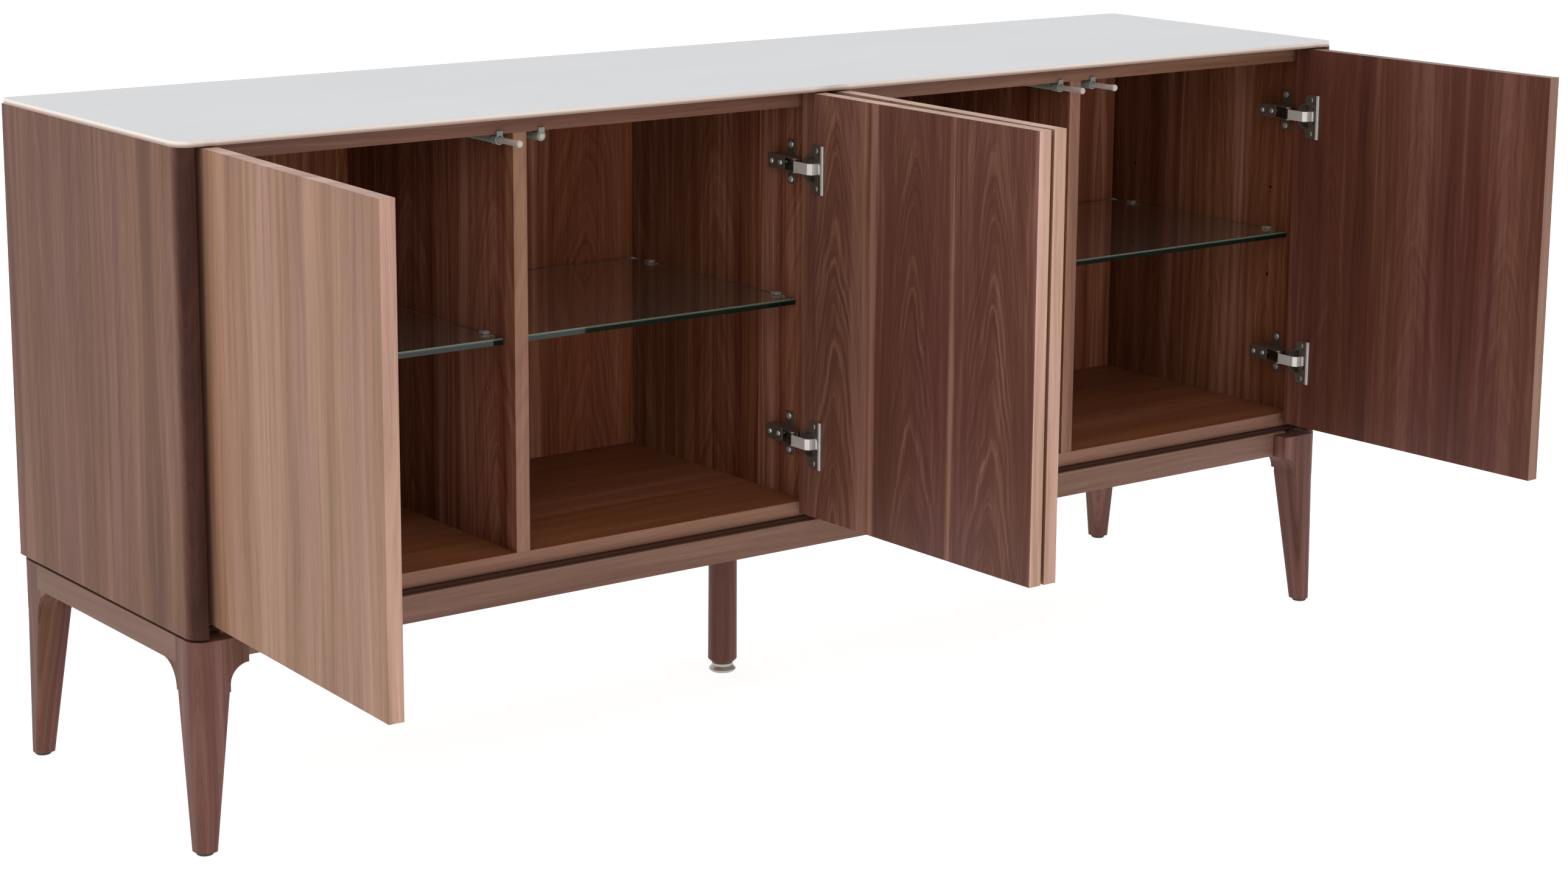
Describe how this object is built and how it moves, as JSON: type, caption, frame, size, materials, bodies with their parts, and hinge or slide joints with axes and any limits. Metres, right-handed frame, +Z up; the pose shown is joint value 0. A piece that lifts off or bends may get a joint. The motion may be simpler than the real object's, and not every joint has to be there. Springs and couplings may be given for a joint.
{
  "type": "sideboard",
  "caption": "Sideboard with hinged doors, bays with glass shelves, a thin slab top and a separate tapered leg frame.",
  "frame": {"origin": "centre of the footprint on the floor, at the underside of the centre foot", "axes": "+X to the right seen from the front, +Y to the back, +Z up; the doors face -Y"},
  "size_m": [1.8, 0.8712, 0.82],
  "materials": {
    "walnut_body": "satin",
    "walnut_legs": "satin",
    "walnut_inside": "satin",
    "walnut_doors": "satin",
    "slab": "satin",
    "shelf_glass": "polished",
    "dark_steel": "satin",
    "bright_steel": "satin",
    "grey_plastic": "matte",
    "pale_plastic": "matte",
    "dark_plastic": "matte",
    "dark_felt": "matte",
    "foot_metal": "satin"
  },
  "bodies": {
    "carcass": {"top_slab": "slab", "top_panel": "walnut_body", "bottom_panel": "walnut_body", "side_panel_left": "walnut_body", "side_panel_right": "walnut_body", "centre_divider": "walnut_body", "left_divider": "walnut_body", "right_divider": "walnut_body", "back_panel_left": "walnut_inside", "back_panel_right": "walnut_inside", "front_rail": "walnut_body", "back_rail": "walnut_body", "left_rail": "walnut_body", "right_rail": "walnut_body", "cross_rail": "walnut_body", "leg_front_left": "walnut_legs", "leg_front_right": "walnut_legs", "leg_back_left": "walnut_legs", "leg_back_right": "walnut_legs", "centre_leg": "walnut_legs", "body_pads": "dark_felt", "base_screws": "bright_steel", "shelf_1": "shelf_glass", "shelf_2": "shelf_glass", "shelf_3": "shelf_glass", "shelf_4": "shelf_glass", "shelf_clips": "bright_steel", "hinge_plates": "dark_steel", "hinge_arms": "dark_steel", "hinge_screws": "bright_steel", "latch_housings": "grey_plastic"},
    "door_1": {"door_1": "walnut_doors", "hinge_cups_1": "dark_steel", "hinge_pins_1": "bright_steel"},
    "links_1": {"hinge_links_1": "bright_steel"},
    "door_2": {"door_2": "walnut_doors", "hinge_cups_2": "dark_steel", "hinge_pins_2": "bright_steel"},
    "links_2": {"hinge_links_2": "bright_steel"},
    "door_3": {"door_3": "walnut_doors", "hinge_cups_3": "dark_steel", "hinge_pins_3": "bright_steel"},
    "links_3": {"hinge_links_3": "bright_steel"},
    "door_4": {"door_4": "walnut_doors", "hinge_cups_4": "dark_steel", "hinge_pins_4": "bright_steel"},
    "links_4": {"hinge_links_4": "bright_steel"},
    "latch_plunger_1": {"latch_plunger_1": "pale_plastic"},
    "latch_plunger_2": {"latch_plunger_2": "pale_plastic"},
    "latch_plunger_3": {"latch_plunger_3": "pale_plastic"},
    "latch_plunger_4": {"latch_plunger_4": "pale_plastic"},
    "foot_front_left": {"foot_front_left": "dark_plastic"},
    "foot_front_right": {"foot_front_right": "dark_plastic"},
    "foot_back_left": {"foot_back_left": "dark_plastic"},
    "foot_back_right": {"foot_back_right": "dark_plastic"},
    "centre_foot": {"centre_foot": "foot_metal"}
  },
  "joints": [
    {"name": "door_1_swing", "type": "hinge", "parent": "carcass", "child": "door_1", "pos_m": [-0.867, -0.215, 0.54], "axis": [0, 0, 1], "range_deg": [-2.5, 92.5]},
    {"name": "links_1_turn", "type": "hinge", "parent": "door_1", "child": "links_1", "pos_m": [-0.85871, -0.23138, 0.54], "axis": [0, 0, 1], "range_deg": [-59.21, 1.61]},
    {"name": "door_2_swing", "type": "hinge", "parent": "carcass", "child": "door_2", "pos_m": [-0.0125, -0.215, 0.54], "axis": [0, 0, -1], "range_deg": [0, 91]},
    {"name": "links_2_turn", "type": "hinge", "parent": "door_2", "child": "links_2", "pos_m": [-0.02122, -0.23115, 0.54], "axis": [0, 0, -1], "range_deg": [-58.25, 0]},
    {"name": "door_3_swing", "type": "hinge", "parent": "carcass", "child": "door_3", "pos_m": [0.0125, -0.215, 0.54], "axis": [0, 0, 1], "range_deg": [0, 91]},
    {"name": "links_3_turn", "type": "hinge", "parent": "door_3", "child": "links_3", "pos_m": [0.02122, -0.23115, 0.54], "axis": [0, 0, 1], "range_deg": [-58.25, 0]},
    {"name": "door_4_swing", "type": "hinge", "parent": "carcass", "child": "door_4", "pos_m": [0.867, -0.215, 0.54], "axis": [0, 0, -1], "range_deg": [-2.5, 92.5]},
    {"name": "links_4_turn", "type": "hinge", "parent": "door_4", "child": "links_4", "pos_m": [0.85871, -0.23138, 0.54], "axis": [0, 0, -1], "range_deg": [-59.21, 1.61]},
    {"name": "latch_1_slide", "type": "slide", "parent": "carcass", "child": "latch_plunger_1", "axis": [0, 1, 0], "range_m": [-0.00121, 0.043]},
    {"name": "latch_2_slide", "type": "slide", "parent": "carcass", "child": "latch_plunger_2", "axis": [0, 1, 0], "range_m": [0, 0.003]},
    {"name": "latch_3_slide", "type": "slide", "parent": "carcass", "child": "latch_plunger_3", "axis": [0, 1, 0], "range_m": [0, 0.043]},
    {"name": "latch_4_slide", "type": "slide", "parent": "carcass", "child": "latch_plunger_4", "axis": [0, 1, 0], "range_m": [-0.00121, 0.043]},
    {"name": "foot_front_left_screw", "type": "slide", "parent": "carcass", "child": "foot_front_left", "axis": [0, 0, -1], "range_m": [0, 0.01]},
    {"name": "foot_front_right_screw", "type": "slide", "parent": "carcass", "child": "foot_front_right", "axis": [0, 0, -1], "range_m": [0, 0.01]},
    {"name": "foot_back_left_screw", "type": "slide", "parent": "carcass", "child": "foot_back_left", "axis": [0, 0, -1], "range_m": [0, 0.01]},
    {"name": "foot_back_right_screw", "type": "slide", "parent": "carcass", "child": "foot_back_right", "axis": [0, 0, -1], "range_m": [0, 0.01]},
    {"name": "centre_foot_screw", "type": "slide", "parent": "carcass", "child": "centre_foot", "axis": [0, 0, -1], "range_m": [0, 0.012]}
  ],
  "couplings": [
    {"joint": "links_1_turn", "follows": "door_1_swing", "ratio": -0.64},
    {"joint": "links_2_turn", "follows": "door_2_swing", "ratio": -0.64},
    {"joint": "links_3_turn", "follows": "door_3_swing", "ratio": -0.64},
    {"joint": "links_4_turn", "follows": "door_4_swing", "ratio": -0.64},
    {"joint": "latch_1_slide", "follows": "door_1_swing", "m_per_rad": 0.026632},
    {"joint": "latch_3_slide", "follows": "door_3_swing", "m_per_rad": 0.027071},
    {"joint": "latch_4_slide", "follows": "door_4_swing", "m_per_rad": 0.026632}
  ]
}
